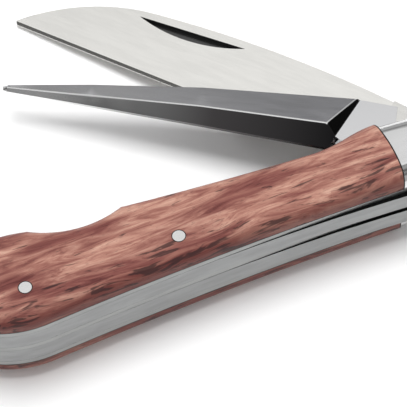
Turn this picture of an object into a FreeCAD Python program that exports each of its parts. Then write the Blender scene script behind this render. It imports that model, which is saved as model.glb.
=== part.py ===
"""Two-tool folding pocket knife for cable work: a sheepfoot blade and a tapered reamer in a wooden handle.

Frame, in millimetres: the knife lies on its back scale. Z is up through the thickness of the handle, X runs
along the handle towards the bolsters, Y points to the side that the tools open from. The origin is where the
pivot pin's axis meets the surface that the knife lies on. Angles of the tools are measured from fully open.
"""

import FreeCAD, Part
import math
import os
import re
import Sketcher
from FreeCAD import Vector

doc = FreeCAD.newDocument("folding_cable_knife")
sheet = doc.addObject("Spreadsheet::Sheet", "Sizes")

SIZES = {
    # layers of the handle, from the back scale up
    "scale_thick": 4.0,
    "liner_thick": 1.2,
    "spring_thick": 4.0,
    "side_play": 0.05,
    "scale_round": 2.8,
    "bolster_round": 3.4,
    # pins
    "pivot_pin_dia": 4.0,
    "scale_pin_dia": 2.5,
    "pivot_play": 0.04,
    "middle_pin_x": -55.0,
    "middle_pin_y": -3.8,
    "butt_pin_x": -85.8,
    "butt_pin_y": -3.1,
    # outline of the handle
    "nose_back_x": 9.5,
    "nose_back_y": -8.9,
    "nose_front_x": 3.0,
    "nose_front_y": 5.2,
    "nose_radius": 14.0,
    "nose_corner": 4.0,
    "joint_x": -9.5,
    "joint_back_y": -8.75,
    "joint_front_y": 6.65,
    "joint_radius": 38.0,
    "bolster_front_y": 6.1,
    "flare_radius": 29.0,
    "flare_x": -15.9,
    "flare_y": 5.75,
    "waist_radius": 27.0,
    "waist_x": -24.0,
    "waist_y": 4.94,
    "grip_radius": 600.0,
    "notch_front_x": -62.7,
    "notch_front_y": 8.15,
    "notch_radius": 20.5,
    "notch_rear_x": -81.1,
    "notch_rear_y": 9.9,
    "heel_radius": 32.5,
    "heel_x": -89.5,
    "heel_y": 11.0,
    "butt_top_radius": 10.5,
    "butt_x": -99.6,
    "butt_y": 1.5,
    "butt_low_radius": 10.1,
    "butt_low_x": -93.5,
    "butt_low_y": -8.4,
    "back_end_radius": 21.0,
    "back_end_x": -84.0,
    "back_end_y": -10.05,
    "back_mid_y": -8.8,
    "back_radius": 850.0,
    # square of the tangs, and the shoulder that stops on the spring's end
    "tang_half": 4.75,
    "tang_corner": 1.0,
    "shoulder_d": 7.0,
    # springs, and how far out their arms stand at the pivot
    "spring_end_gap": 0.15,
    "spring_lift": 1.62,
    "spring_root_x": -14.0,
    "spring_boss_y": -1.4,
    "spring_heel_x": -91.0,
    "spring_heel_y": -0.2,
    # main blade: d along it from the pivot, w across it towards its spine
    "blade_angle": 130.1,
    "blade_close_tilt": 5.0,
    "blade_spine_w": 10.3,
    "blade_spine_radius": 264.0,
    "blade_drop_d": 68.0,
    "blade_drop_w": 10.0,
    "blade_drop_radius": 41.0,
    "blade_tip_d": 94.9,
    "blade_tip_w": -4.4,
    "blade_tip_radius": 1.2,
    "blade_edge_w": -5.1,
    "blade_heel_d": 14.5,
    "choil_radius": 1.2,
    "kick_d": 10.0,
    "grind_d": 12.0,
    "blade_spine_thick": 3.0,
    "blade_edge_thick": 0.9,
    "edge_bevel": 0.6,
    "edge_flat": 0.16,
    "nick_tip_d": 71.0,
    "nick_tip_w": 8.0,
    "nick_heel_d": 46.4,
    "nick_heel_w": 9.9,
    "nick_radius": 32.0,
    "nick_floor_z": 0.4,
    "nick_lean": 15.0,
    # reamer, measured like the blade
    "reamer_angle": 148.8,
    "reamer_plate_thick": 2.4,
    "reamer_spine_w": 9.2,
    "reamer_kick_d": 11.0,
    "reamer_web_d": 15.6,
    "reamer_web_w": 9.97,
    "reamer_web_end_d": 19.2,
    "foot_reach": 17.4,
    "foot_lean": 22.0,
    "ramp_slope": 15.0,
    "ramp_run": 6.0,
    "ridge_land": 0.36,
}
# sections along the reamer: d, then w of its spine, ridge and edge, then half its thickness at each of the three
SECTION_SIZES = ("d", "spine_w", "ridge_w", "edge_w", "spine_half", "ridge_half", "edge_half")
SECTIONS = {
    "base": (15.0, 10.0, 2.5, -2.9, 1.35, 1.95, 0.35),
    "middle": (47.0, 8.85, 3.8, 0.0, 1.25, 1.6, 0.35),
    "fore": (70.0, 6.75, 3.6, 1.85, 1.0, 1.25, 0.3),
    "neck": (87.6, 4.6, 3.9, 3.1, 0.65, 0.78, 0.35),
    "tip": (88.6, 4.35, 3.95, 3.45, 0.4, 0.5, 0.3),
}
SMOOTH = "smooth "
UP = Vector(0, 0, 1)
ALIAS = re.compile(r"[a-z]+(?:_[a-z]+)+")


def formula(text):
    """Turns size names in a formula into references to the sheet's cells."""
    return ALIAS.sub(lambda name: "Sizes." + name.group(), text)


def value(text):
    """The present value of a formula of size names."""
    result = sheet.evalExpression(formula(text))
    return float(getattr(result, "Value", result))


def fill_sheet():
    sizes = dict(SIZES)
    for section, numbers in SECTIONS.items():
        sizes.update({f"{section}_{name}": number for name, number in zip(SECTION_SIZES, numbers)})
    for row, (name, number) in enumerate(sizes.items(), start=1):
        sheet.set(f"A{row}", name)
        sheet.set(f"B{row}", str(number))
        sheet.setAlias(f"B{row}", name)
    doc.recompute()


def attach(body, sketch, role, shift, lean, hinge):
    """Lays a sketch on one of its body's origin planes, shifted from it (x, y, z) and leaning about a hinge."""
    planes = {feature.Role: feature for feature in body.Origin.OriginFeatures}
    sketch.AttachmentSupport = [(planes[role], "")]
    sketch.MapMode = "FlatFace"
    base = Vector(*(value(part) for part in shift))
    sketch.AttachmentOffset = FreeCAD.Placement(base, FreeCAD.Rotation(hinge, value(lean)))
    for axis, part in zip("xyz", shift):
        if part != "0":
            sketch.setExpression(f"AttachmentOffset.Base.{axis}", formula(part))
    if lean != "0":
        sketch.setExpression("AttachmentOffset.Rotation.Angle", formula(lean))


def side(start, end, radius):
    """A line, or an arc that bulges to the right of its way, or to the left if its radius is negative."""
    if not radius:
        return Part.LineSegment(start, end)
    chord = end - start
    left = Vector(-chord.y, chord.x, 0).normalize()
    reach = math.sqrt(radius * radius - chord.Length ** 2 / 4)
    centre = (start + end) / 2 + left * math.copysign(reach, radius)
    first, last = (start, end) if radius > 0 else (end, start)
    angles = [math.atan2(point.y - centre.y, point.x - centre.x) for point in (first, last)]
    return Part.ArcOfCircle(Part.Circle(centre, Vector(0, 0, 1), abs(radius)), *angles)


def pin_down(sketch, geometry, vertex, x, y):
    """Ties a point of a sketch to formulas for its distances from the sketch's origin."""
    for kind, text in (("DistanceX", x), ("DistanceY", y)):
        index = sketch.addConstraint(Sketcher.Constraint(kind, -1, 1, geometry, vertex, value(text)))
        sketch.setExpression(f"Constraints[{index}]", formula(text))


def tie_radius(sketch, geometry, text):
    index = sketch.addConstraint(Sketcher.Constraint("Radius", geometry, abs(value(text))))
    sketch.setExpression(f"Constraints[{index}]", formula(text.lstrip("-")))


def draw_outline(sketch, corners):
    """Draws a closed outline through corners (x, y, bend), each bend that of the side to the next corner.

    A bend is None for a straight side, or a radius, with a minus sign if the side bends inwards. After "smooth"
    the radius is only near: the side runs on smoothly from the one before. Corners run anticlockwise.
    """
    points = [Vector(value(x), value(y), 0) for x, y, _ in corners]
    sides = []
    for number, (_, _, bend) in enumerate(corners):
        end = points[(number + 1) % len(points)]
        radius = value(bend.removeprefix(SMOOTH)) if bend else None
        geometry = sketch.addGeometry(side(points[number], end, radius), False)
        starts_here = (sketch.Geometry[geometry].StartPoint - points[number]).Length < 1e-6
        sides.append((geometry, 1 if starts_here else 2, 2 if starts_here else 1))
    for number, (geometry, start, _) in enumerate(sides):
        before, _, before_end = sides[number - 1]
        x, y, bend = corners[number]
        smooth = bool(bend) and bend.startswith(SMOOTH)
        joined = "Tangent" if smooth else "Coincident"
        sketch.addConstraint(Sketcher.Constraint(joined, before, before_end, geometry, start))
        pin_down(sketch, geometry, start, x, y)
        if bend and not smooth:
            tie_radius(sketch, geometry, bend)


def draw_circle(sketch, x, y, radius):
    centre = Vector(value(x), value(y), 0)
    geometry = sketch.addGeometry(Part.Circle(centre, Vector(0, 0, 1), value(radius)), False)
    tie_radius(sketch, geometry, radius)
    if centre.Length < 1e-9:
        sketch.addConstraint(Sketcher.Constraint("Coincident", geometry, 3, -1, 1))
    else:
        pin_down(sketch, geometry, 3, x, y)


def new_sketch(body, name, role="XY_Plane", shift=("0", "0", "0"), lean="0", hinge=UP):
    sketch = body.newObject("Sketcher::SketchObject", f"{body.Label}_{name}")
    attach(body, sketch, role, shift, lean, hinge)
    return sketch


def pad(body, sketch, length):
    feature = body.newObject("PartDesign::Pad", f"{sketch.Name}_pad")
    feature.Profile = sketch
    feature.Length = value(length)
    feature.setExpression("Length", formula(length))
    doc.recompute()
    return feature


def pocket(body, sketch, length, reverse=False, both_ways=False, way=None):
    """Cuts a sketch out of a body, square to itself or another way, and stops if nothing was cut."""
    before = body.Shape.Volume
    feature = body.newObject("PartDesign::Pocket", f"{sketch.Name}_pocket")
    feature.Profile = sketch
    feature.Length = value(length)
    feature.setExpression("Length", formula(length))
    feature.Reversed = reverse
    feature.Midplane = both_ways
    if way:
        feature.UseCustomVector = True
        feature.Direction = way
    doc.recompute()
    if feature.Shape.isNull() or before - feature.Shape.Volume < 0.1:
        raise RuntimeError(f"{sketch.Name} cuts nothing")
    return feature


def fillet(body, base, radius, wanted):
    """Rounds the edges of a feature that a test picks out."""
    names = [f"Edge{number}" for number, edge in enumerate(base.Shape.Edges, start=1) if wanted(edge)]
    feature = body.newObject("PartDesign::Fillet", f"{body.Label}_round{len(body.Group)}")
    feature.Base = (base, names)
    feature.Radius = value(radius)
    feature.setExpression("Radius", formula(radius))
    doc.recompute()
    return feature


def place(body, height, angle=None):
    """Lifts a body to its layer and, for a tool, turns it about the pivot from fully open to where it stands."""
    turn = FreeCAD.Rotation(Vector(0, 0, 1), value(angle) if angle else 0)
    body.Placement = FreeCAD.Placement(Vector(0, 0, value(height)), turn)
    body.setExpression(".Placement.Base.z", formula(height))
    if angle:
        body.setExpression(".Placement.Rotation.Angle", formula(angle))


def new_body(label):
    body = doc.addObject("PartDesign::Body", label)
    body.Label = label
    return body


BACK = [("back_end_x", "back_end_y", "smooth -back_radius")]
BUTT_LOW = ("butt_low_x", "butt_low_y", "smooth back_end_radius")
BUTT = [("butt_x", "butt_y", "smooth butt_low_radius"), BUTT_LOW]
NOSE = [
    ("joint_x", "joint_back_y", None),
    ("nose_back_x", "nose_back_y", "nose_radius"),
    ("nose_front_x", "nose_front_y", None),
]
FRONT = [
    ("joint_x", "joint_front_y", "flare_radius"),
    ("flare_x", "flare_y", "smooth -waist_radius"),
    ("waist_x", "waist_y", "smooth -grip_radius"),
    ("notch_front_x", "notch_front_y", "-notch_radius"),
    ("notch_rear_x", "notch_rear_y", "heel_radius"),
    ("heel_x", "heel_y", "smooth butt_top_radius"),
]
NOSE_CORNERS = [("nose_back_x", "nose_back_y"), ("nose_front_x", "nose_front_y")]
PIVOT = ("0", "0", "pivot_pin_dia / 2")
MIDDLE_PIN = ("middle_pin_x", "middle_pin_y", "scale_pin_dia / 2")
BUTT_PIN = ("butt_pin_x", "butt_pin_y", "scale_pin_dia / 2")
PIVOT_HOLE = ("0", "0", "pivot_pin_dia / 2 + pivot_play")
TANG_THICK = "(spring_thick - 2 * side_play)"
TANG_FLOOR = ("0", "0", f"-{TANG_THICK} / 2")
BACK_LINER_Z = "scale_thick"
BLADE_LAYER_Z = "scale_thick + liner_thick"
CENTRE_LINER_Z = "scale_thick + liner_thick + spring_thick"
REAMER_LAYER_Z = "scale_thick + 2 * liner_thick + spring_thick"
FRONT_LINER_Z = "scale_thick + 2 * liner_thick + 2 * spring_thick"
FRONT_SCALE_Z = "scale_thick + 3 * liner_thick + 2 * spring_thick"
FULL_HEIGHT = "2 * scale_thick + 3 * liner_thick + 2 * spring_thick"


def plate(label, corners, holes, thickness, height):
    """A flat piece: an outline with round holes, as thick as its layer."""
    body = new_body(label)
    sketch = new_sketch(body, "outline")
    draw_outline(sketch, corners)
    for hole in holes:
        draw_circle(sketch, *hole)
    feature = pad(body, sketch, thickness)
    place(body, height)
    return body, feature


def round_corners(body, feature, radius, spots):
    """Rounds the upright edges of a piece that stand at the given places."""
    places = [Vector(value(x), value(y), 0) for x, y in spots]

    def at_corner(edge):
        box = edge.BoundBox
        upright = box.XLength < 1e-6 and box.YLength < 1e-6
        here = Vector(box.XMin, box.YMin, 0)
        return upright and any((here - spot).Length < 1e-3 for spot in places)

    return fillet(body, feature, radius, at_corner)


def round_outer_rim(body, feature, outer_z, spots, radius):
    """Rounds the rim of a handle cover's outer face. One side is picked of every run of smoothly joined sides:
    the rounding follows the run by itself. The spots are corners that the picked sides start or end at.
    """
    places = [Vector(value(x), value(y), outer_z) for x, y in spots]

    def on_rim(edge):
        box = edge.BoundBox
        flat = abs(box.ZMin - outer_z) < 1e-6 and abs(box.ZMax - outer_z) < 1e-6
        ends = [vertex.Point for vertex in edge.Vertexes]
        at_joint = all(abs(end.x - value("joint_x")) < 0.5 for end in ends)
        return flat and not at_joint and any((end - spot).Length < 1e-3 for end in ends for spot in places)

    fillet(body, feature, radius, on_rim)


def make_liners():
    corners = BACK + NOSE + FRONT + BUTT
    holes = [PIVOT, MIDDLE_PIN, BUTT_PIN]
    heights = {"back_liner": BACK_LINER_Z, "centre_liner": CENTRE_LINER_Z, "front_liner": FRONT_LINER_Z}
    for label, height in heights.items():
        body, feature = plate(label, corners, holes, "liner_thick", height)
        round_corners(body, feature, "nose_corner", NOSE_CORNERS)


def on_joint(y):
    """The x of the bowed joint between a scale and its bolster, at a given y."""
    middle = "(joint_front_y + joint_back_y) / 2"
    half = "(joint_front_y - joint_back_y) / 2"
    depth = f"sqrt(joint_radius ^ 2 - ({y} - {middle}) ^ 2)"
    return f"joint_x - sqrt(joint_radius ^ 2 - ({half}) ^ 2) + {depth}"


def make_covers():
    """The wooden scales and the steel bolsters, one pair on each side."""
    scale = BACK + [("joint_x", "joint_back_y", "joint_radius")] + FRONT + BUTT
    notch = [("notch_front_x", "notch_front_y"), ("notch_rear_x", "notch_rear_y")]
    bolster = NOSE + [(on_joint("bolster_front_y"), "bolster_front_y", "-joint_radius")]
    for side_name, height, outer_z in (("front", FRONT_SCALE_Z, value("scale_thick")), ("back", "0", 0)):
        body, feature = plate(f"{side_name}_scale", scale, [MIDDLE_PIN, BUTT_PIN], "scale_thick", height)
        round_outer_rim(body, feature, outer_z, notch, "scale_round")
        body, feature = plate(f"{side_name}_bolster", bolster, [PIVOT], "scale_thick", height)
        feature = round_corners(body, feature, "nose_corner", NOSE_CORNERS)
        round_outer_rim(body, feature, outer_z, [("joint_x", "joint_back_y")], "bolster_round")


def bent(x, y):
    """Where a point of a spring's arm stands when a tool's tang holds the arm bent outwards."""
    return x, f"{y} - spring_lift * (1 - ({x}) / middle_pin_x) ^ 2"


def make_springs():
    """Two back springs. Each half-open tool's tang holds its spring's arm bent outwards."""
    end = "shoulder_d - spring_end_gap"
    arm = [
        (*bent(end, "nose_back_y"), None),
        (*bent(end, "-tang_half"), "middle_pin_x ^ 2 / (2 * spring_lift)"),
        (*bent("spring_root_x", "-tang_half"), None),
    ]
    corners = [
        ("back_end_x", "back_end_y", "-back_radius"),
        ("middle_pin_x", "back_mid_y", "smooth -back_radius"),
        *arm,
        ("middle_pin_x", "spring_boss_y", None),
        ("spring_heel_x", "spring_heel_y", None),
        ("butt_x", "butt_y", "butt_low_radius"),
        BUTT_LOW,
    ]
    for label, height in (("blade_spring", BLADE_LAYER_Z), ("reamer_spring", REAMER_LAYER_Z)):
        plate(label, corners, [MIDDLE_PIN, BUTT_PIN], "spring_thick", height)


def make_main_blade():
    """Sheepfoot blade. Its x runs from the pivot to the tip, and its spine faces -Y, as when it is fully open.

    Its faces taper evenly to the edge bevel, a narrow steeper one along the cutting edge.
    """
    body = new_body("main_blade")
    kick_y = "(tang_half + kick_d * sin(blade_close_tilt)) / cos(blade_close_tilt)"
    heel_y = "(tang_half - tang_half * sin(blade_close_tilt)) / cos(blade_close_tilt)"
    corners = [
        ("shoulder_d", "-blade_spine_w", "blade_spine_radius"),
        ("blade_drop_d", "-blade_drop_w", "blade_drop_radius"),
        ("blade_tip_d", "-blade_tip_w", "blade_tip_radius"),
        ("blade_tip_d - blade_tip_radius / 2", "-blade_edge_w", None),
        ("blade_heel_d", "-blade_edge_w", "-choil_radius"),
        ("blade_heel_d - 2 * choil_radius + 0.1", "-blade_edge_w", None),
        ("kick_d", kick_y, None),
        ("-tang_half", heel_y, None),
        ("-tang_half", "-tang_half", None),
        ("shoulder_d", "-tang_half", None),
    ]
    sketch = new_sketch(body, "outline", shift=TANG_FLOOR)
    draw_outline(sketch, corners)
    draw_circle(sketch, *PIVOT_HOLE)
    blank = pad(body, sketch, TANG_THICK)
    round_corners(body, blank, "tang_corner", [("-tang_half", heel_y), ("-tang_half", "-tang_half")])

    grind = new_sketch(body, "grind", "YZ_Plane", ("0", "0", "grind_d"))
    for way in ("", "-"):
        wedge = [
            ("-blade_spine_w - 3", f"{way}blade_spine_thick / 2", None),
            ("-blade_edge_w - edge_bevel", f"{way}blade_edge_thick / 2", None),
            ("-blade_edge_w", f"{way}edge_flat / 2", None),
            ("-blade_edge_w + edge_bevel", f"{way}edge_flat / 2", None),
            ("-blade_edge_w + edge_bevel", f"{way}spring_thick", None),
            ("-blade_spine_w - 3", f"{way}spring_thick", None),
        ]
        draw_outline(grind, wedge)
    pocket(body, grind, "blade_tip_d", reverse=True)

    heel = ("nick_heel_d", "-nick_heel_w", "nick_floor_z")
    to_tip = ("nick_tip_d - nick_heel_d", "nick_heel_w - nick_tip_w")
    hinge = Vector(*(value(part) for part in to_tip), 0)
    nick = new_sketch(body, "nail_nick", shift=heel, lean="nick_lean", hinge=hinge)
    draw_outline(nick, [("0", "0", None), (*to_tip, "nick_radius")])
    pocket(body, nick, "blade_spine_thick", way=UP)
    place(body, f"{BLADE_LAYER_Z} + spring_thick / 2", "blade_angle")


def reamer_section(body, name):
    """A section of the reamer: on both faces a narrow land along its ridge stands out."""
    sketch = new_sketch(body, name, "YZ_Plane", ("0", "0", f"{name}_d"))
    corners = [
        (f"{name}_spine_w", f"{name}_spine_half"),
        (f"{name}_ridge_w + ridge_land / 2", f"{name}_ridge_half"),
        (f"{name}_ridge_w - ridge_land / 2", f"{name}_ridge_half"),
        (f"{name}_edge_w", f"{name}_edge_half"),
    ]
    upper = [(f"-({w})", half, None) for w, half in corners]
    lower = [(f"-({w})", f"-{half}", None) for w, half in reversed(corners)]
    draw_outline(sketch, lower + upper)
    return sketch


def make_reamer():
    """Tapered reamer with a ridge along each face. It is laid out like the main blade."""
    body = new_body("reamer")
    sections = [reamer_section(body, name) for name in SECTIONS]
    loft = body.newObject("PartDesign::AdditiveLoft", "reamer_taper")
    loft.Profile = sections[0]
    loft.Sections = sections[1:]
    loft.Ruled = True
    doc.recompute()

    ends = new_sketch(body, "ends", "XZ_Plane", lean="foot_lean", hinge=Vector(0, -1, 0))
    half = "reamer_plate_thick / 2"
    top = f"({half} + ramp_run * tan(ramp_slope))"
    far = "foot_reach + ramp_run"
    waste = [
        ("foot_reach", half),
        (far, top),
        (far, "spring_thick"),
        ("0", "spring_thick"),
        ("0", "-spring_thick"),
        (far, "-spring_thick"),
        (far, f"-{top}"),
        ("foot_reach", f"-{half}"),
    ]
    draw_outline(ends, [(x, z, None) for x, z in waste])
    pocket(body, ends, "2 * foot_reach", both_ways=True)

    web = new_sketch(body, "web", shift=("0", "0", f"-{half}"))
    corners = [
        ("shoulder_d", "-reamer_spine_w"),
        ("reamer_web_d", "-reamer_web_w"),
        ("reamer_web_end_d", "-base_edge_half"),
        ("reamer_kick_d", "tang_half"),
        ("-tang_half", "tang_half"),
        ("-tang_half", "-tang_half"),
        ("shoulder_d", "-tang_half"),
    ]
    draw_outline(web, [(x, y, None) for x, y in corners])
    draw_circle(web, *PIVOT_HOLE)
    pad(body, web, "reamer_plate_thick")

    hub = new_sketch(body, "hub", shift=TANG_FLOOR)
    square = [
        ("-tang_half", "-tang_half", None),
        ("tang_half", "-tang_half", None),
        ("tang_half", "tang_half", None),
        ("-tang_half", "tang_half", None),
    ]
    draw_outline(hub, square)
    draw_circle(hub, *PIVOT_HOLE)
    tang = pad(body, hub, TANG_THICK)
    round_corners(body, tang, "tang_corner", [("-tang_half", "tang_half"), ("-tang_half", "-tang_half")])
    place(body, f"{REAMER_LAYER_Z} + spring_thick / 2", "reamer_angle")


def make_pins():
    """Plain pins, peened flush with the outer faces."""
    pins = {
        "pivot_pin": ("0", "0", "pivot_pin_dia / 2"),
        "middle_pin": MIDDLE_PIN,
        "butt_pin": BUTT_PIN,
    }
    for label, (x, y, radius) in pins.items():
        pin = doc.addObject("Part::Cylinder", label)
        pin.Label = label
        pin.setExpression("Radius", formula(radius))
        pin.setExpression("Height", formula(FULL_HEIGHT))
        pin.setExpression(".Placement.Base.x", formula(x))
        pin.setExpression(".Placement.Base.y", formula(y))


def check_and_export():
    doc.recompute()
    failed = [item.Name for item in doc.Objects if {"Invalid", "Error"} & set(item.State)]
    if failed:
        raise RuntimeError(f"failed objects: {failed}")
    os.makedirs("parts", exist_ok=True)
    pieces = [item for item in doc.Objects if item.TypeId in ("PartDesign::Body", "Part::Cylinder")]
    for piece in pieces:
        if piece.Shape.isNull() or not piece.Shape.isValid() or not piece.Shape.Solids:
            raise RuntimeError(f"{piece.Label} has no sound shape")
        piece.Shape.exportStep(f"parts/{piece.Label}.step")
        print(piece.Label, len(piece.Shape.Solids), "solid", round(piece.Shape.Volume, 1), "mm3")


fill_sheet()
make_liners()
make_covers()
make_springs()
make_main_blade()
make_reamer()
make_pins()
check_and_export()
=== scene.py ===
"""Looks of the folding pocket knife: its materials, eased edges, studio light and camera.

Everything is in metres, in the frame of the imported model. The knife lies on its back side, X runs along the
handle towards the bolsters, Y points to the side that the tools open from, and Z is up.
"""

import math

import bpy
from mathutils import Matrix, Vector


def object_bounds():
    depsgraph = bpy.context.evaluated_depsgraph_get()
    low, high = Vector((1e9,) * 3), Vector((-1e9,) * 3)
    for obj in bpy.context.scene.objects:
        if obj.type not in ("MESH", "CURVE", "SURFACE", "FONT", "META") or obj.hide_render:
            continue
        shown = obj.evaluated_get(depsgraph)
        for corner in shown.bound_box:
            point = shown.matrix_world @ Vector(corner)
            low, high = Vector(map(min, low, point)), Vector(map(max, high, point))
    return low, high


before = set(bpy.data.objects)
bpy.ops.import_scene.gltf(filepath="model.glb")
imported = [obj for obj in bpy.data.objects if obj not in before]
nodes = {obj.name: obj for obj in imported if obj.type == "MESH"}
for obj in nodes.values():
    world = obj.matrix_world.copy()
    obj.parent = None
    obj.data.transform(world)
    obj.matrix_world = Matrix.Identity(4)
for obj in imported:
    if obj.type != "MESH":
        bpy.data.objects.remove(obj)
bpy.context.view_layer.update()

MM = 0.001
PER_MM = 1 / MM

# How far each node's sharp edges are eased, and the angle above which an edge counts as sharp. The pins stay
# sharp.
EASED = {
    "front_scale": 0.16 * MM,
    "back_scale": 0.16 * MM,
    "front_bolster": 0.14 * MM,
    "back_bolster": 0.14 * MM,
    "front_liner": 0.04 * MM,
    "centre_liner": 0.04 * MM,
    "back_liner": 0.04 * MM,
    "blade_spring": 0.06 * MM,
    "reamer_spring": 0.06 * MM,
    "main_blade": 0.04 * MM,
    "reamer": 0.09 * MM,
}
SHARP_ANGLE = math.radians(9)
WELD = 1e-6

# Camera: it looks at the top of the front liner from this far, this high and this far round from +Y.
CAMERA_ELEVATION = math.radians(55.64)
CAMERA_AZIMUTH = math.radians(19.02)
CAMERA_ROLL = math.radians(-3.63)
CAMERA_DISTANCE = 350 * MM
CAMERA_AIM = Vector((-46.97, 3.83, 15.6)) * MM
CAMERA_LENS = 158.03
SENSOR = 36.0

# The room that the steel reflects: its level against the part of a direction that points across it.
ROOM_TURN = math.radians(15)
ROOM_BAND = (
    (0.0, 0.015),
    (0.20, 0.05),
    (0.34, 0.30),
    (0.42, 1.10),
    (0.57, 1.00),
    (0.68, 0.48),
    (0.80, 0.14),
    (1.0, 0.12),
)
# It falls to a share of itself between two limits of the part of a direction that points along the room.
ROOM_FADE = (0.26, 0.46)
ROOM_FADED = 0.12
# The least that the level is at each height above the horizon, all round.
ROOM_RISE = (
    (0.0, 0.45),
    (0.50, 0.50),
    (0.62, 0.12),
    (0.90, 0.05),
    (0.96, 0.45),
    (1.0, 0.55),
)

# Half the width of the square floor.
FLOOR_HALF = 3.0

# Measures of the CAD model in millimetres, for the materials. The handle: how thick it and its wood are, the
# place along it where its wood is darkest, its pins, and the circle that its joint with the bolster follows.
HANDLE_THICK = 19.6
WOOD_THICK = 4.0
WOOD_DARKEST = -55.0
SCALE_PINS = ((-55.0, -3.8), (-85.8, -3.1))
PIN_RADIUS = 1.25
JOINT_CENTRE = (-46.711, -1.05)
JOINT_RADIUS = 38.0
# The blade: the height of its middle, the way that it points from +X, and two points of its tapered face, as
# how far each is from the pivot's line towards the cutting edge, and how far from the blade's middle.
BLADE_MIDDLE = 7.2
BLADE_TURN = math.radians(130.1)
FACE_AT_BACK = (-13.3, 1.5)
FACE_AT_EDGE = (4.5, 0.45)
BLADE_TAPER = (FACE_AT_BACK[1] - FACE_AT_EDGE[1]) / (FACE_AT_EDGE[0] - FACE_AT_BACK[0])
BLADE_HALF = FACE_AT_EDGE[1] + FACE_AT_EDGE[0] * BLADE_TAPER
# The reamer: the same two, and two points of its ridge, as how far along it and across it. At the foot of its
# taper a ramp rises from its plate, with a foot line that leans.
REAMER_MIDDLE = 12.4
REAMER_TURN = math.radians(148.8)
RIDGE_FROM = (15, 2.5)
RIDGE_TO = (47, 3.8)
PLATE_HALF = 1.2
FOOT_REACH = 17.4
FOOT_LEAN = math.radians(22)
RAMP_SLOPE = math.tan(math.radians(15))

# The line that the knife tips over on, just under the place where the flat of its back scale ends towards the
# tools, and how far beyond it a tool has to reach to tip the knife.
TIPPING_LINE = (Vector((-9.5, 3.85, -0.03)) * MM, Vector((-89.5, 8.2, -0.03)) * MM)
TIPPING_REACH = 50 * MM


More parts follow.
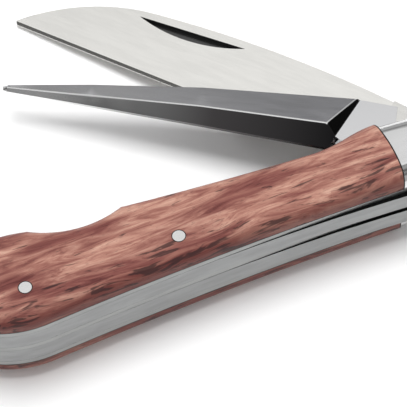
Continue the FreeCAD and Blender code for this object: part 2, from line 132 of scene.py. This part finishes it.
class Graph:
    """The node graph of a material or a world, with short names for the nodes that it is built from."""

    def __init__(self, owner, shader="Principled BSDF"):
        owner.use_nodes = True
        self.owner = owner
        self.tree = owner.node_tree
        self.shader = self.tree.nodes[shader]

    def add(self, kind, inputs=(), **settings):
        """A new node. Its inputs are given as (socket name or number, value or another node's output)."""
        node = self.tree.nodes.new(kind)
        for name, setting in settings.items():
            setattr(node, name, setting)
        for socket, what in inputs:
            self.feed(node.inputs[socket], what)
        return node

    def feed(self, socket, what):
        if isinstance(what, bpy.types.NodeSocket):
            self.tree.links.new(what, socket)
        elif socket.type == "RGBA":
            socket.default_value = (*what[:3], 1)
        else:
            socket.default_value = what

    def set(self, **inputs):
        """Sets the shader's inputs, with _ for a blank in their names."""
        for name, what in inputs.items():
            self.feed(self.shader.inputs[name.replace("_", " ")], what)

    def place(self, stretch=(1, 1, 1), turn=0.0):
        """The surface point in millimetres, turned about Z and then stretched."""
        point = self.add("ShaderNodeTexCoord").outputs["Object"]
        turned = self.add(
            "ShaderNodeVectorRotate",
            [("Vector", point), ("Axis", (0, 0, 1)), ("Angle", -turn)],
        ).outputs[0]
        scale = [PER_MM * part for part in stretch]
        return self.math_vector("MULTIPLY", turned, scale)

    def math_vector(self, operation, first, second):
        node = self.add("ShaderNodeVectorMath", [(0, first), (1, second)], operation=operation)
        return node.outputs[0]

    def math(self, operation, first, second=0.0, clamp=False):
        node = self.add("ShaderNodeMath", [(0, first), (1, second)], operation=operation, use_clamp=clamp)
        return node.outputs[0]

    def times(self, first, second):
        return self.math("MULTIPLY", first, second)

    def flip(self, what):
        """1 where a value is 0, and 0 where it is 1."""
        return self.math("SUBTRACT", 1.0, what)

    def noise(self, vector, detail, roughness=0.5, distortion=0.0):
        inputs = [
            ("Vector", vector),
            ("Scale", 1.0),
            ("Detail", detail),
            ("Roughness", roughness),
            ("Distortion", distortion),
        ]
        return self.add("ShaderNodeTexNoise", inputs).outputs[0]

    def ramp(self, factor, stops):
        """A colour ramp with stops (position, colour)."""
        node = self.add("ShaderNodeValToRGB", [(0, factor)])
        elements = node.color_ramp.elements
        while len(elements) < len(stops):
            elements.new(0.5)
        for element, (position, colour) in zip(elements, stops):
            element.position = position
            element.color = (*colour, 1)
        return node.outputs[0]

    def step(self, factor, low, high, before=0.0, after=1.0, shape="SMOOTHSTEP"):
        """One value below low, another above high, and smooth between unless another shape is given."""
        inputs = [
            ("Value", factor),
            ("From Min", low),
            ("From Max", high),
            ("To Min", before),
            ("To Max", after),
        ]
        return self.add("ShaderNodeMapRange", inputs, interpolation_type=shape).outputs[0]

    def mix(self, factor, first, second):
        """A mix of two colours."""
        inputs = [(0, factor), (6, first), (7, second)]
        return self.add("ShaderNodeMix", inputs, data_type="RGBA").outputs[2]

    def bump(self, height, depth, strength):
        inputs = [("Height", height), ("Distance", depth), ("Strength", strength)]
        self.set(Normal=self.add("ShaderNodeBump", inputs).outputs[0])

    def reach(self, point, centre):
        """How far a point is from an upright axis, in millimetres."""
        aside = self.math_vector("SUBTRACT", point, (*centre, 0))
        flat = self.math_vector("MULTIPLY", aside, (1, 1, 0))
        return self.add("ShaderNodeVectorMath", [(0, flat)], operation="LENGTH").outputs["Value"]

    def around_pins(self, point):
        """1 in the thin ring of painted shade round each scale pin."""
        nearest = self.math("MINIMUM", *(self.reach(point, pin) for pin in SCALE_PINS))
        return self.flip(self.step(nearest, PIN_RADIUS + 0.10, PIN_RADIUS + 0.24))

    def along_joint(self, point):
        """1 in the thin line of painted shade where the wood meets the bolster."""
        line = self.step(self.reach(point, JOINT_CENTRE), JOINT_RADIUS - 0.32, JOINT_RADIUS - 0.18)
        return self.times(line, self.step(self.part(point, "X"), -20, -15))

    def part(self, point, axis):
        """One of a point's three numbers."""
        return self.add("ShaderNodeSeparateXYZ", [(0, point)]).outputs[axis]

    def facing_up(self):
        """How much a face looks up or down: 1 for a flank, 0 for an edge face."""
        normal = self.add("ShaderNodeNewGeometry").outputs["Normal"]
        return self.math("ABSOLUTE", self.part(normal, "Z"))

    def away_from_flats(self, point):
        """How far a point is below the front flat or above the back one, whichever is less."""
        return self.math("SUBTRACT", HANDLE_THICK / 2, self.off_middle(point, HANDLE_THICK / 2))

    def off_middle(self, point, middle):
        """How far a point is above or below a height, in millimetres."""
        return self.math("ABSOLUTE", self.math("SUBTRACT", self.part(point, "Z"), middle))

    def lies_along(self, direction, way):
        """How much a direction points one way or the opposite one."""
        node = self.add("ShaderNodeVectorMath", [(0, direction), (1, way)], operation="DOT_PRODUCT")
        return self.math("ABSOLUTE", node.outputs["Value"])


def linear(red, green, blue):
    """A colour given in everyday 0 to 255 steps, as the linear numbers that shaders take."""
    parts = [part / 255 for part in (red, green, blue)]
    return tuple(((p + 0.055) / 1.055) ** 2.4 if p > 0.04045 else p / 12.92 for p in parts)


WOOD_PALE = linear(198, 156, 138)
WOOD_TAN = linear(178, 130, 114)
WOOD_BROWN = linear(152, 102, 90)
WOOD_RED = linear(122, 70, 64)
WOOD_MAROON = linear(92, 45, 43)
# Painted shade for the wood's rounded edges, below its flats.
WOOD_EDGE_SHADE = linear(100, 44, 38)
WOOD_BLACK = linear(40, 26, 28)
# Nearly black painted shade for the gaps round the pins and along the wood's joints.
WOOD_GAP_SHADE = (0.006, 0.005, 0.005)


def grey(level):
    return (level, level, level)


# Flanks of springs and liners: heat-blackened steel, darkened further by painted shade and dark reflection.
BLACKENED_AND_SHADED_STEEL = grey(0.035)
# Painted dark reflection on the steep ramp at the foot of the reamer's taper.
RAMP_DARK_REFLECTION = grey(0.03)
# Painted shade and dark reflection in the blade's nail nick.
NICK_SHADE = grey(0.16)
# Painted highlight on the reamer's ridge and on the rim of its ramp.
PAINTED_HIGHLIGHT = grey(1.0)
PLATE_BRIGHT = (0.74, 0.74, 0.75)
# Painted reflection: the reamer's taper is painted paler towards its tip, where it mirrors the bright table.
TAPER_TIP_REFLECTION = (0.86, 0.86, 0.87)
# Painted reflection on one flank of the reamer's ridge: nearly black at its foot, where it mirrors the
# shadowed table and handle, and paler along it, at these parts of a length from the pivot in millimetres.
FLANK_LENGTH = 100
FLANK_REFLECTION = (
    (0.16, (0.010, 0.010, 0.011)),
    (0.44, (0.10, 0.094, 0.096)),
    (0.60, grey(0.30)),
    (0.80, grey(0.95)),
)


def rosewood(name, shift):
    """Oiled reddish wood. Its figure and pores run along the handle. Shift sets which plank is used."""
    graph = Graph(bpy.data.materials.new(name))
    point = graph.place()
    bend = graph.noise(graph.place((0.03, 0.12, 0.12)), detail=2)
    bends = graph.add("ShaderNodeCombineXYZ", [(1, bend), (2, bend)]).outputs[0]
    sway = graph.math_vector("MULTIPLY", bends, (0, 7, 7))
    plank = graph.math_vector("ADD", graph.math_vector("ADD", point, (shift, shift, 0)), sway)

    def along(length, width):
        return graph.math_vector("MULTIPLY", plank, (1 / length, 1 / width, 1 / width))

    clouds = graph.noise(along(24, 5.5), detail=3, roughness=0.5)
    figure = graph.noise(along(13, 1.4), detail=5, roughness=0.65, distortion=0.7)
    fibre = graph.noise(along(2.6, 0.22), detail=4, roughness=0.6)
    pores = graph.noise(along(1.3, 0.20), detail=1, roughness=0.5)
    streaks = graph.noise(along(8, 1.2), detail=3, roughness=0.6, distortion=0.5)

    # The planks are paler towards both ends, and darker and more streaked towards their back edge.
    to_end = graph.math("ABSOLUTE", graph.math("SUBTRACT", graph.part(point, "X"), WOOD_DARKEST))
    paler = graph.times(graph.step(to_end, 12, 32), 0.08)
    wavy_back = graph.math("ADD", graph.part(point, "Y"), graph.times(clouds, 6))
    to_back = graph.flip(graph.step(wavy_back, -4.5, 0.5))
    darker = graph.times(to_back, 0.10)
    clouds = graph.math("SUBTRACT", graph.math("ADD", clouds, paler), darker)
    streaks = graph.math("ADD", streaks, graph.times(to_back, 0.09))

    pale = graph.ramp(figure, [(0.32, WOOD_RED), (0.44, WOOD_BROWN), (0.54, WOOD_TAN), (0.66, WOOD_PALE)])
    deep = graph.ramp(figure, [(0.34, WOOD_MAROON), (0.48, WOOD_RED), (0.64, WOOD_BROWN)])
    wood = graph.mix(graph.step(clouds, 0.38, 0.56), deep, pale)
    wood = graph.mix(graph.times(graph.step(fibre, 0.50, 0.70), 0.4), wood, WOOD_RED)
    below_flat = graph.away_from_flats(point)
    # Painted shade darkens the wood's rounded edges and sides, below its flats.
    wood = graph.mix(graph.times(graph.step(below_flat, 0.0, 1.6), 0.6), wood, WOOD_EDGE_SHADE)
    wood = graph.mix(graph.times(graph.step(streaks, 0.62, 0.70), 0.75), wood, WOOD_BLACK)
    open_pores = graph.step(pores, 0.66, 0.74)
    wood = graph.mix(graph.times(open_pores, 0.35), wood, WOOD_BLACK)

    # Painted shade, nearly black, lies in the gaps round the pins, along the joint with the bolster and where
    # the wood meets its liner.
    gap_shade = graph.math("MAXIMUM", graph.around_pins(point), graph.along_joint(point))
    at_liner = graph.step(below_flat, WOOD_THICK - 0.28, WOOD_THICK - 0.10)
    wood = graph.mix(graph.math("MAXIMUM", gap_shade, at_liner), wood, WOOD_GAP_SHADE)
    graph.set(Base_Color=wood, Specular_IOR_Level=0.35)
    graph.set(Roughness=graph.math("ADD", graph.times(fibre, 0.25), 0.38))
    relief = graph.math("SUBTRACT", graph.times(fibre, 0.3), open_pores)
    graph.bump(relief, 0.06 * MM, 0.7)
    return graph.owner


def steel(name, colour, roughness, turn=0.0, lines=0.3, depth=0.004, cloudy=0.10, mask=None):
    """Bare steel, ground in one direction. Lines is how much the grinding shows in its gloss.

    A mask is a function that takes the graph and the steel's colour, and gives the colour with its dark and
    bright places.
    """
    graph = Graph(bpy.data.materials.new(name))
    scratches = graph.noise(graph.place((0.12, 9, 9), turn), detail=4, roughness=0.7)
    cloud = graph.noise(graph.place((0.10, 0.6, 0.6), turn), detail=4, roughness=0.6)
    darker = tuple(part * (1 - cloudy) for part in colour)
    lighter = tuple(part * (1 + cloudy / 2) for part in colour)
    metal = graph.mix(graph.step(cloud, 0.3, 0.7), lighter, darker)
    if mask:
        metal = mask(graph, metal)
    graph.set(Base_Color=metal, Metallic=1.0)
    uneven = graph.times(graph.math("SUBTRACT", scratches, 0.5), lines)
    graph.set(Roughness=graph.math("ADD", uneven, roughness, clamp=True))
    graph.bump(scratches, depth * MM, 0.8)
    return graph.owner


def blackened_and_shaded_flanks(graph, metal):
    """Springs and liners are ground bright only on their edge faces. Their flanks are darker: partly their
    own heat-blackened, unpolished steel, partly painted shade and dark reflection.
    """
    return graph.mix(graph.step(graph.facing_up(), 0.55, 0.85), metal, BLACKENED_AND_SHADED_STEEL)


def reamer_shades(graph, metal):
    """The reamer's plate is bright. Its taper is painted paler towards the tip, for its brighter reflection
    there: one flank of the ridge gets a painted dark reflection, the ridge and the rim of the ramp painted
    highlights, and the ramp at its foot a painted black reflection.
    """
    point = graph.place(turn=REAMER_TURN)
    along, side_way = graph.part(point, "X"), graph.part(point, "Y")
    # Painted reflection: paler towards the tip, where the taper mirrors the bright table.
    metal = graph.mix(graph.step(along, 25, 90), metal, TAPER_TIP_REFLECTION)

    (from_reach, from_width), (to_reach, to_width) = RIDGE_FROM, RIDGE_TO
    ridge = graph.step(along, from_reach, to_reach, from_width, to_width, "LINEAR")
    past_ridge = graph.math("ADD", side_way, ridge)
    # Painted reflection on the flank past the ridge, nearly black at the foot.
    flank = graph.ramp(graph.math("DIVIDE", along, FLANK_LENGTH), FLANK_REFLECTION)
    metal = graph.mix(graph.step(past_ridge, 0.10, 0.18), metal, flank)
    # Painted highlight along the ridge.
    on_ridge = graph.flip(graph.step(graph.math("ABSOLUTE", past_ridge), 0.10, 0.24))
    metal = graph.mix(on_ridge, metal, PAINTED_HIGHLIGHT)

    across = graph.times(side_way, -math.sin(FOOT_LEAN))
    from_foot = graph.math("ADD", graph.times(along, math.cos(FOOT_LEAN)), across)
    ramp_height = graph.math("ADD", graph.times(from_foot, RAMP_SLOPE), PLATE_HALF - FOOT_REACH * RAMP_SLOPE)
    above_ramp = graph.math("SUBTRACT", graph.off_middle(point, REAMER_MIDDLE), ramp_height)
    before_ramp = graph.flip(graph.step(past_ridge, 0.2, 0.4))
    # Painted highlight along the rim of the ramp.
    rim = graph.times(graph.step(above_ramp, -0.15, -0.09), before_ramp)
    metal = graph.mix(rim, metal, PAINTED_HIGHLIGHT)
    # Painted dark reflection on the ramp.
    metal = graph.mix(graph.step(above_ramp, -0.05, -0.02), metal, RAMP_DARK_REFLECTION)
    on_plate = graph.flip(graph.step(from_foot, FOOT_REACH - 0.10, FOOT_REACH + 0.05))
    return graph.mix(on_plate, metal, PLATE_BRIGHT)


def blade_shades(graph, metal):
    """The nail nick, below the blade's ground upper face, is painted dark: painted shade and dark reflection
    in its hollow.
    """
    point = graph.place(turn=BLADE_TURN)
    along, to_edge = graph.part(point, "X"), graph.part(point, "Y")
    height = graph.math("SUBTRACT", graph.part(point, "Z"), BLADE_MIDDLE)
    face = graph.math("ADD", graph.times(to_edge, -BLADE_TAPER), BLADE_HALF)
    sunk = graph.flip(graph.step(graph.math("SUBTRACT", height, face), -0.09, -0.03))
    near_nick = graph.times(graph.step(along, 44, 45), graph.step(to_edge, -4.5, -5.0))
    in_nick = graph.times(graph.times(sunk, near_nick), graph.step(height, 0.2, 0.3))
    return graph.mix(in_nick, metal, NICK_SHADE)


def ease_edges(node, width):
    """Rounds a node's sharp edges a little, as real ones are, and smooths the curved faces between them."""
    weld = node.modifiers.new("weld", "WELD")
    weld.merge_threshold = WELD
    bevel = node.modifiers.new("eased_edges", "BEVEL")
    bevel.width = width
    bevel.segments = 2
    bevel.limit_method = "ANGLE"
    bevel.angle_limit = SHARP_ANGLE
    bevel.use_clamp_overlap = True
    weighted = node.modifiers.new("flat_faces", "WEIGHTED_NORMAL")
    weighted.keep_sharp = False


def paint(material, *names):
    for name in names:
        for slot in nodes[name].material_slots:
            slot.material = material


def finish_nodes():
    paint(rosewood("rosewood_front", 0.0), "front_scale")
    paint(rosewood("rosewood_back", 37.0), "back_scale")
    bolster = steel("polished_bolster", (0.72, 0.72, 0.72), 0.16, lines=0.04, depth=0.0005, cloudy=0.04)
    liner = steel("ground_liner", (0.34, 0.345, 0.34), 0.36, mask=blackened_and_shaded_flanks)
    spring = steel("ground_spring", (0.32, 0.325, 0.325), 0.38, mask=blackened_and_shaded_flanks)
    blade = steel(
        "satin_blade",
        (0.915, 0.905, 0.87),
        0.26,
        turn=BLADE_TURN,
        lines=0.06,
        depth=0.0006,
        cloudy=0.04,
        mask=blade_shades,
    )
    reamer = steel(
        "dark_reamer",
        (0.48, 0.48, 0.50),
        0.2,
        turn=REAMER_TURN,
        lines=0.06,
        depth=0.001,
        mask=reamer_shades,
    )
    pin = steel("pin_ends", (0.80, 0.80, 0.79), 0.24, lines=0.04, depth=0.0005, cloudy=0.03)
    paint(bolster, "front_bolster", "back_bolster")
    paint(liner, "front_liner", "centre_liner", "back_liner")
    paint(spring, "blade_spring", "reamer_spring")
    paint(blade, "main_blade")
    paint(reamer, "reamer")
    paint(pin, "pivot_pin", "middle_pin", "butt_pin")
    for name, width in EASED.items():
        ease_edges(nodes[name], width)


def aimed(location, target):
    """The placing of a lamp that looks from a place at a target."""
    return Matrix.Translation(location) @ (target - location).to_track_quat("-Z", "Y").to_matrix().to_4x4()


def lamp(name, target, azimuth, elevation, distance, width, power):
    """A soft square lamp that doesn't show in the steel. Azimuth is turned from +Y towards +X, in degrees."""
    turn, rise = math.radians(azimuth), math.radians(elevation)
    way = Vector((math.sin(turn) * math.cos(rise), math.cos(turn) * math.cos(rise), math.sin(rise)))
    data = bpy.data.lights.new(name, "AREA")
    data.shape = "RECTANGLE"
    data.size = data.size_y = width
    data.energy = power
    light = bpy.data.objects.new(name, data)
    light.matrix_world = aimed(target + way * distance, target)
    light.visible_glossy = False
    bpy.context.scene.collection.objects.link(light)


def tool_points():
    """The corners of both tools' meshes, where they stand."""
    for name in ("main_blade", "reamer"):
        for vertex in nodes[name].data.vertices:
            yield nodes[name].matrix_world @ vertex.co


def make_floor():
    """The table. The knife is shown leaning on a tool that stands out far enough, so in its own frame the
    table rises towards that tool, from the line that the knife tips over on.
    """
    start, end = TIPPING_LINE
    along = (end - start).normalized()
    outward = Vector((along.y, -along.x, 0))
    leans = [(outward.dot(spot - start), spot.z - start.z) for spot in tool_points()]
    slope = min((height / reach for reach, height in leans if reach > TIPPING_REACH), default=0)
    corners = []
    for side_x, side_y in ((-1, -1), (1, -1), (1, 1), (-1, 1)):
        corner = start + Vector((side_x, side_y, 0)) * FLOOR_HALF
        corners.append((corner.x, corner.y, corner.z + slope * outward.dot(corner - start)))
    mesh = bpy.data.meshes.new("floor")
    mesh.from_pydata(corners, [], [(0, 1, 2, 3)])
    floor = bpy.data.objects.new("floor", mesh)
    bpy.context.scene.collection.objects.link(floor)
    graph = Graph(bpy.data.materials.new("pale_floor"))
    graph.set(Base_Color=(0.94, 0.94, 0.94, 1), Roughness=0.9, Specular_IOR_Level=0.1)
    mesh.materials.append(graph.owner)


def make_world():
    """A white backdrop, and a room for the steel to reflect. It is half bright low down and straight above,
    and dark between, with a bright band high up on two sides.
    """
    world = bpy.data.worlds.new("studio")
    bpy.context.scene.world = world
    graph = Graph(world, "Background")
    direction = graph.add("ShaderNodeTexCoord").outputs["Generated"]
    side, ahead = math.sin(ROOM_TURN), math.cos(ROOM_TURN)
    across = graph.lies_along(direction, (side, ahead, 0))
    lengthways = graph.lies_along(direction, (ahead, -side, 0))
    band = graph.ramp(across, [(position, grey(level)) for position, level in ROOM_BAND])
    band = graph.times(band, graph.step(lengthways, *ROOM_FADE, 1.0, ROOM_FADED))
    least = graph.ramp(graph.part(direction, "Z"), [(position, grey(level)) for position, level in ROOM_RISE])
    graph.set(Color=graph.math("MAXIMUM", band, least))

    backdrop = graph.add("ShaderNodeBackground", [("Color", (1, 1, 1))]).outputs[0]
    seen = graph.add("ShaderNodeLightPath").outputs["Is Camera Ray"]
    room = graph.shader.outputs[0]
    mixed = graph.add("ShaderNodeMixShader", [(0, seen), (1, room), (2, backdrop)]).outputs[0]
    graph.feed(graph.tree.nodes["World Output"].inputs["Surface"], mixed)


def light_studio(low, high):
    target = (low + high) / 2
    lamp("overhead", target, azimuth=20, elevation=84, distance=1.2, width=0.6, power=11.5)
    lamp("sky", target, azimuth=0, elevation=90, distance=1.5, width=2.4, power=6.5)


def make_camera():
    ahead = Vector(
        (
            math.sin(CAMERA_AZIMUTH) * math.cos(CAMERA_ELEVATION),
            math.cos(CAMERA_AZIMUTH) * math.cos(CAMERA_ELEVATION),
            -math.sin(CAMERA_ELEVATION),
        )
    )
    level = Vector((math.cos(CAMERA_AZIMUTH), -math.sin(CAMERA_AZIMUTH), 0))
    right = Matrix.Rotation(-CAMERA_ROLL, 3, ahead) @ level
    up = right.cross(ahead)
    data = bpy.data.cameras.new("camera")
    data.lens = CAMERA_LENS
    data.sensor_width = SENSOR
    data.clip_start, data.clip_end = 0.01, 20
    camera = bpy.data.objects.new("camera", data)
    turned = Matrix((right, up, -ahead)).transposed().to_4x4()
    camera.matrix_world = Matrix.Translation(CAMERA_AIM - ahead * CAMERA_DISTANCE) @ turned
    bpy.context.scene.collection.objects.link(camera)
    bpy.context.scene.camera = camera


finish_nodes()
low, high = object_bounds()
make_floor()
make_world()
light_studio(low, high)
make_camera()
bpy.context.scene.view_settings.view_transform = "Standard"
